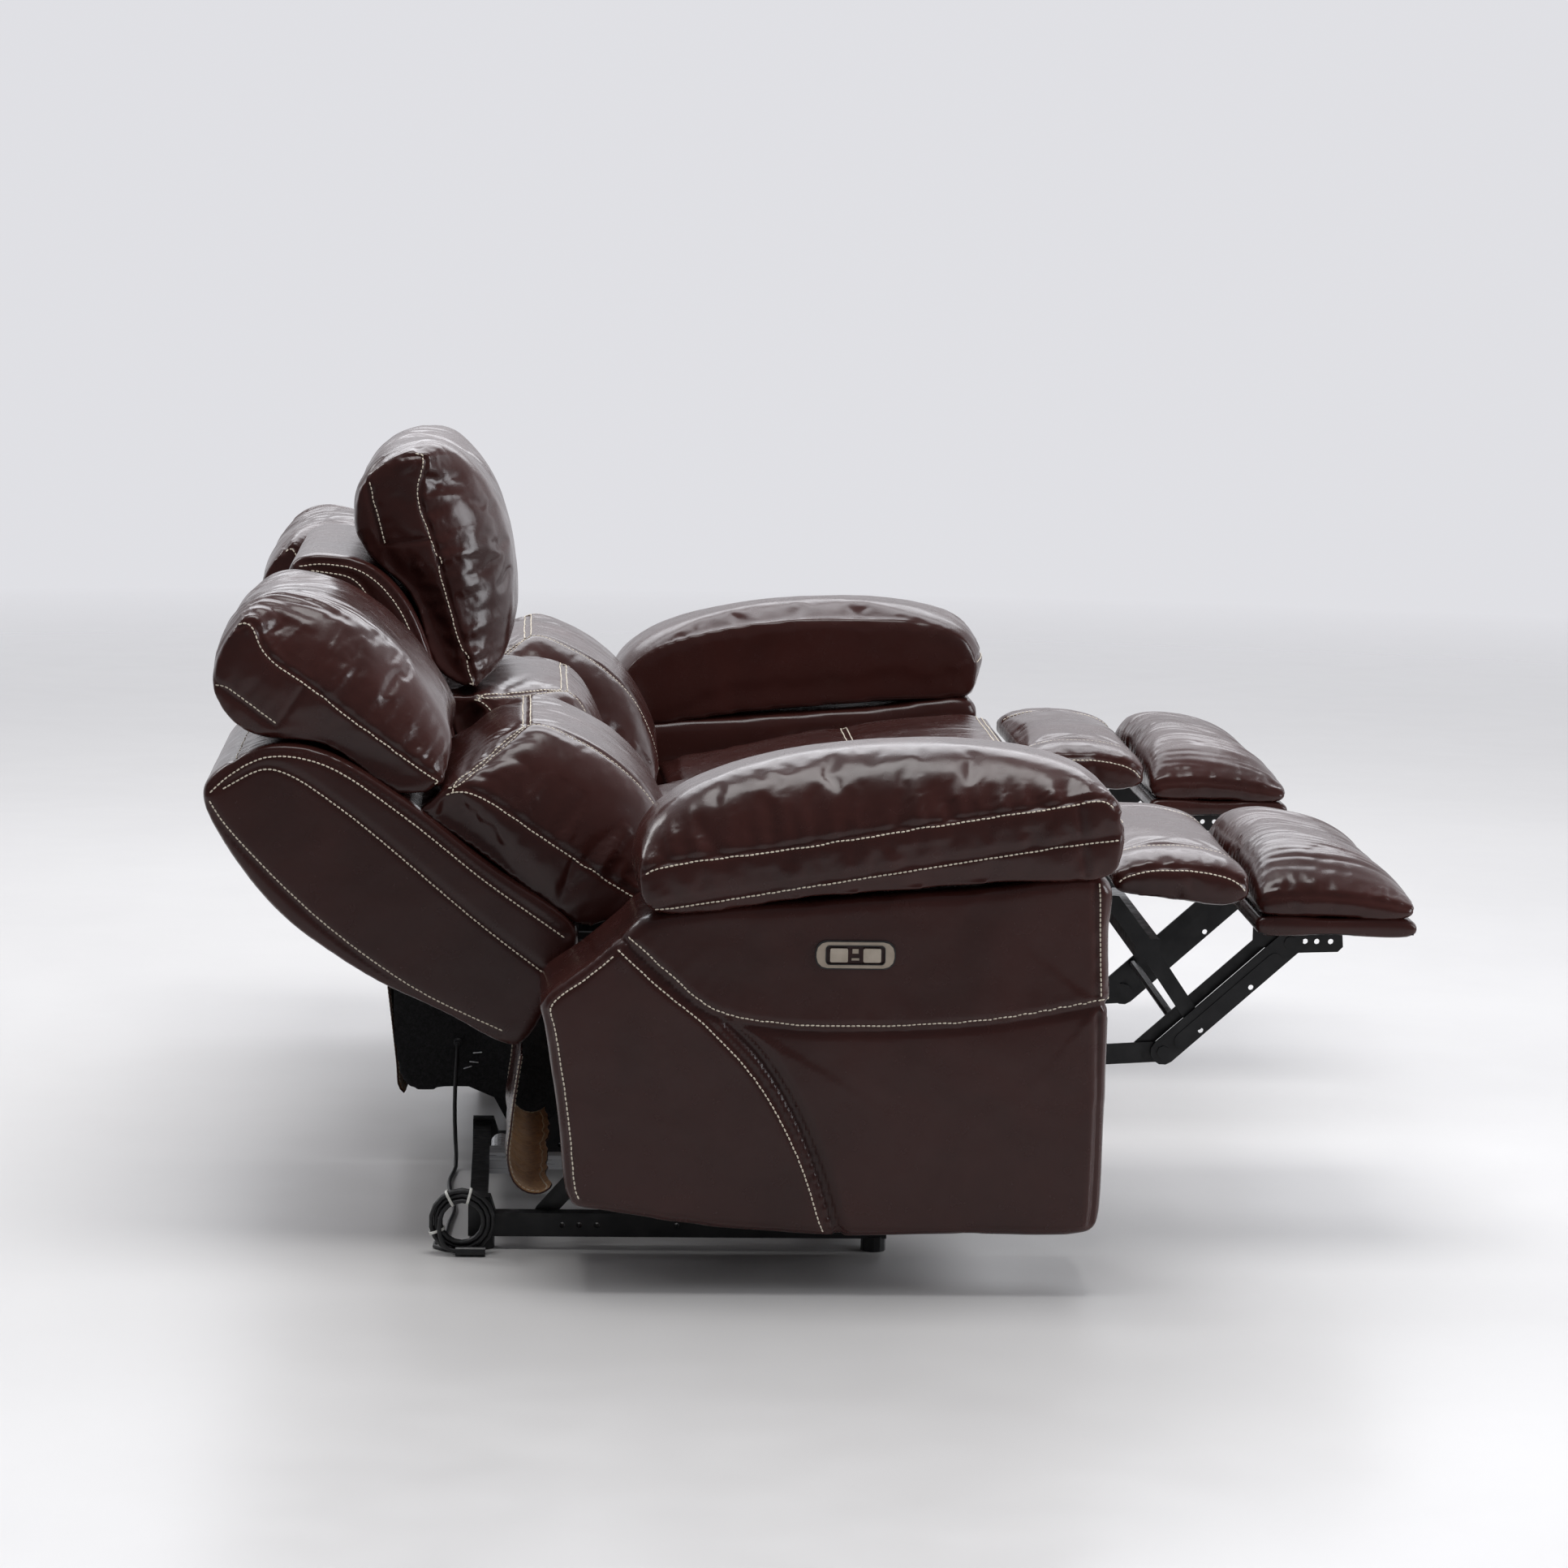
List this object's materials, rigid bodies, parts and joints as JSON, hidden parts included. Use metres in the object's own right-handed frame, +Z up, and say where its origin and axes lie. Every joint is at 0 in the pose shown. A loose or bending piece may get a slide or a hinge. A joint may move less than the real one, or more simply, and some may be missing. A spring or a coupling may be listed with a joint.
{
  "type": "reclining sofa",
  "caption": "Power reclining leather sofa with recliners either side of a fixed middle seat, modelled fully reclined with the footrests out.",
  "frame": {"origin": "on the floor, centre of the sofa's box from above, with both recliners fully open", "axes": "+X towards the front, +Y towards the sitter's left along the sofa's width, +Z up"},
  "size_m": [1.6419, 2.21, 1.0496],
  "materials": {
    "leather": "gloss",
    "black_steel": "satin",
    "champagne_trim": "satin",
    "aluminium": "satin",
    "black_liner": "matte",
    "black_plastic": "satin"
  },
  "bodies": {
    "base": {"right_base_frame": "black_steel", "right_actuator": "aluminium", "left_base_frame": "black_steel", "left_actuator": "aluminium", "middle_base": "black_liner", "middle_front_roll": "leather", "middle_front_panel": "leather", "middle_seat_cushion": "leather", "middle_back_shell": "leather", "middle_head_cushion": "leather", "middle_lumbar_cushion": "leather", "middle_back_skirt": "leather", "lead_strain_relief": "black_plastic", "power_lead": "black_plastic", "lead_coil": "black_plastic", "lead_plug": "black_plastic"},
    "right_front_swing": {"right_front_swing_links": "black_steel"},
    "right_rear_swing": {"right_rear_swing_links": "black_steel"},
    "right_carriage": {"right_carriage_frame": "black_steel", "right_seat_cushion": "leather", "right_arm_body": "leather", "right_arm_pad": "leather", "right_control_plate": "champagne_trim"},
    "right_back": {"right_back_frame": "black_steel", "right_back_shell": "leather", "right_head_cushion": "leather", "right_lumbar_cushion": "leather"},
    "right_skirt": {"right_back_skirt": "leather"},
    "right_lower_link": {"right_lower_links": "black_steel"},
    "right_upper_link": {"right_upper_links": "black_steel"},
    "right_long_link": {"right_inner_long_link": "black_steel", "right_outer_long_link": "black_steel"},
    "right_stay": {"right_stay_links": "black_steel"},
    "right_foot": {"right_foot_bracket": "black_steel", "right_foot_pad": "leather"},
    "right_calf": {"right_calf_pad": "leather"},
    "right_open_switch": {"right_open_button": "champagne_trim"},
    "right_close_switch": {"right_close_button": "champagne_trim"},
    "left_front_swing": {"left_front_swing_links": "black_steel"},
    "left_rear_swing": {"left_rear_swing_links": "black_steel"},
    "left_carriage": {"left_carriage_frame": "black_steel", "left_seat_cushion": "leather", "left_arm_body": "leather", "left_arm_pad": "leather", "left_control_plate": "champagne_trim"},
    "left_back": {"left_back_frame": "black_steel", "left_back_shell": "leather", "left_head_cushion": "leather", "left_lumbar_cushion": "leather"},
    "left_skirt": {"left_back_skirt": "leather"},
    "left_lower_link": {"left_lower_links": "black_steel"},
    "left_upper_link": {"left_upper_links": "black_steel"},
    "left_long_link": {"left_inner_long_link": "black_steel", "left_outer_long_link": "black_steel"},
    "left_stay": {"left_stay_links": "black_steel"},
    "left_foot": {"left_foot_bracket": "black_steel", "left_foot_pad": "leather"},
    "left_calf": {"left_calf_pad": "leather"},
    "left_open_switch": {"left_open_button": "champagne_trim"},
    "left_close_switch": {"left_close_button": "champagne_trim"}
  },
  "joints": [
    {"name": "right_recline", "type": "hinge", "parent": "base", "child": "right_front_swing", "pos_m": [0.02, -0.57, 0.045], "axis": [0, 1, 0], "range_deg": [-83.62, 0]},
    {"name": "right_rear_swing", "type": "hinge", "parent": "base", "child": "right_rear_swing", "pos_m": [-0.36, -0.57, 0.045], "axis": [0, 1, 0], "range_deg": [-83.63, 0]},
    {"name": "right_carriage_level", "type": "hinge", "parent": "right_front_swing", "child": "right_carriage", "pos_m": [0.12, -0.57, 0.1568], "axis": [0, 1, 0], "range_deg": [0, 83.63]},
    {"name": "right_back_lean", "type": "hinge", "parent": "right_carriage", "child": "right_back", "pos_m": [-0.29, -0.57, 0.312], "axis": [0, 1, 0], "range_deg": [0, 37.01]},
    {"name": "right_skirt_hang", "type": "hinge", "parent": "right_back", "child": "right_skirt", "pos_m": [-0.398, -0.57, 0.27], "axis": [0, 1, 0], "range_deg": [-37.01, 0]},
    {"name": "right_legrest", "type": "hinge", "parent": "right_carriage", "child": "right_lower_link", "pos_m": [0.247, -0.57, 0.48], "axis": [0, 1, 0], "range_deg": [0, 90]},
    {"name": "right_upper_link_turn", "type": "hinge", "parent": "right_carriage", "child": "right_upper_link", "pos_m": [0.281, -0.57, 0.485], "axis": [0, 1, 0], "range_deg": [0, 92.21]},
    {"name": "right_long_link_turn", "type": "hinge", "parent": "right_lower_link", "child": "right_long_link", "pos_m": [0.481, -0.57, 0.271], "axis": [0, 1, 0], "range_deg": [-48.61, 0]},
    {"name": "right_stay_turn", "type": "hinge", "parent": "right_lower_link", "child": "right_stay", "pos_m": [0.449, -0.57, 0.276], "axis": [0, 1, 0], "range_deg": [-48.61, 0]},
    {"name": "right_foot_turn", "type": "hinge", "parent": "right_long_link", "child": "right_foot", "pos_m": [0.651, -0.57, 0.424], "axis": [0, 1, 0], "range_deg": [0, 48.61]},
    {"name": "right_calf_turn", "type": "hinge", "parent": "right_carriage", "child": "right_calf", "pos_m": [0.37, -0.57, 0.53], "axis": [0, 1, 0], "range_deg": [0, 90.01]},
    {"name": "right_open_press", "type": "slide", "parent": "right_carriage", "child": "right_open_switch", "axis": [0, 1, 0], "range_m": [0, 0.002], "stiffness_N_per_m": 400, "springref_m": -0.0005},
    {"name": "right_close_press", "type": "slide", "parent": "right_carriage", "child": "right_close_switch", "axis": [0, 1, 0], "range_m": [0, 0.002], "stiffness_N_per_m": 400, "springref_m": -0.0005},
    {"name": "left_recline", "type": "hinge", "parent": "base", "child": "left_front_swing", "pos_m": [0.02, 0.57, 0.045], "axis": [0, 1, 0], "range_deg": [-83.62, 0]},
    {"name": "left_rear_swing", "type": "hinge", "parent": "base", "child": "left_rear_swing", "pos_m": [-0.36, 0.57, 0.045], "axis": [0, 1, 0], "range_deg": [-83.63, 0]},
    {"name": "left_carriage_level", "type": "hinge", "parent": "left_front_swing", "child": "left_carriage", "pos_m": [0.12, 0.57, 0.1568], "axis": [0, 1, 0], "range_deg": [0, 83.63]},
    {"name": "left_back_lean", "type": "hinge", "parent": "left_carriage", "child": "left_back", "pos_m": [-0.29, 0.57, 0.312], "axis": [0, 1, 0], "range_deg": [0, 37.01]},
    {"name": "left_skirt_hang", "type": "hinge", "parent": "left_back", "child": "left_skirt", "pos_m": [-0.398, 0.57, 0.27], "axis": [0, 1, 0], "range_deg": [-37.01, 0]},
    {"name": "left_legrest", "type": "hinge", "parent": "left_carriage", "child": "left_lower_link", "pos_m": [0.247, 0.57, 0.48], "axis": [0, 1, 0], "range_deg": [0, 90]},
    {"name": "left_upper_link_turn", "type": "hinge", "parent": "left_carriage", "child": "left_upper_link", "pos_m": [0.281, 0.57, 0.485], "axis": [0, 1, 0], "range_deg": [0, 92.21]},
    {"name": "left_long_link_turn", "type": "hinge", "parent": "left_lower_link", "child": "left_long_link", "pos_m": [0.481, 0.57, 0.271], "axis": [0, 1, 0], "range_deg": [-48.61, 0]},
    {"name": "left_stay_turn", "type": "hinge", "parent": "left_lower_link", "child": "left_stay", "pos_m": [0.449, 0.57, 0.276], "axis": [0, 1, 0], "range_deg": [-48.61, 0]},
    {"name": "left_foot_turn", "type": "hinge", "parent": "left_long_link", "child": "left_foot", "pos_m": [0.651, 0.57, 0.424], "axis": [0, 1, 0], "range_deg": [0, 48.61]},
    {"name": "left_calf_turn", "type": "hinge", "parent": "left_carriage", "child": "left_calf", "pos_m": [0.37, 0.57, 0.53], "axis": [0, 1, 0], "range_deg": [0, 90.01]},
    {"name": "left_open_press", "type": "slide", "parent": "left_carriage", "child": "left_open_switch", "axis": [0, -1, 0], "range_m": [0, 0.002], "stiffness_N_per_m": 400, "springref_m": -0.0005},
    {"name": "left_close_press", "type": "slide", "parent": "left_carriage", "child": "left_close_switch", "axis": [0, -1, 0], "range_m": [0, 0.002], "stiffness_N_per_m": 400, "springref_m": -0.0005}
  ],
  "couplings": [
    {"joint": "right_rear_swing", "follows": "right_recline", "ratio": 1},
    {"joint": "right_carriage_level", "follows": "right_recline", "ratio": -1},
    {"joint": "right_back_lean", "follows": "right_recline", "ratio": -0.44247},
    {"joint": "right_skirt_hang", "follows": "right_recline", "ratio": 0.44247},
    {"joint": "right_upper_link_turn", "follows": "right_legrest", "ratio": 1.0244},
    {"joint": "right_long_link_turn", "follows": "right_legrest", "ratio": -0.54},
    {"joint": "right_stay_turn", "follows": "right_legrest", "ratio": -0.54},
    {"joint": "right_foot_turn", "follows": "right_legrest", "ratio": 0.54},
    {"joint": "right_calf_turn", "follows": "right_legrest", "ratio": 1},
    {"joint": "left_rear_swing", "follows": "left_recline", "ratio": 1},
    {"joint": "left_carriage_level", "follows": "left_recline", "ratio": -1},
    {"joint": "left_back_lean", "follows": "left_recline", "ratio": -0.44247},
    {"joint": "left_skirt_hang", "follows": "left_recline", "ratio": 0.44247},
    {"joint": "left_upper_link_turn", "follows": "left_legrest", "ratio": 1.0244},
    {"joint": "left_long_link_turn", "follows": "left_legrest", "ratio": -0.54},
    {"joint": "left_stay_turn", "follows": "left_legrest", "ratio": -0.54},
    {"joint": "left_foot_turn", "follows": "left_legrest", "ratio": 0.54},
    {"joint": "left_calf_turn", "follows": "left_legrest", "ratio": 1}
  ]
}
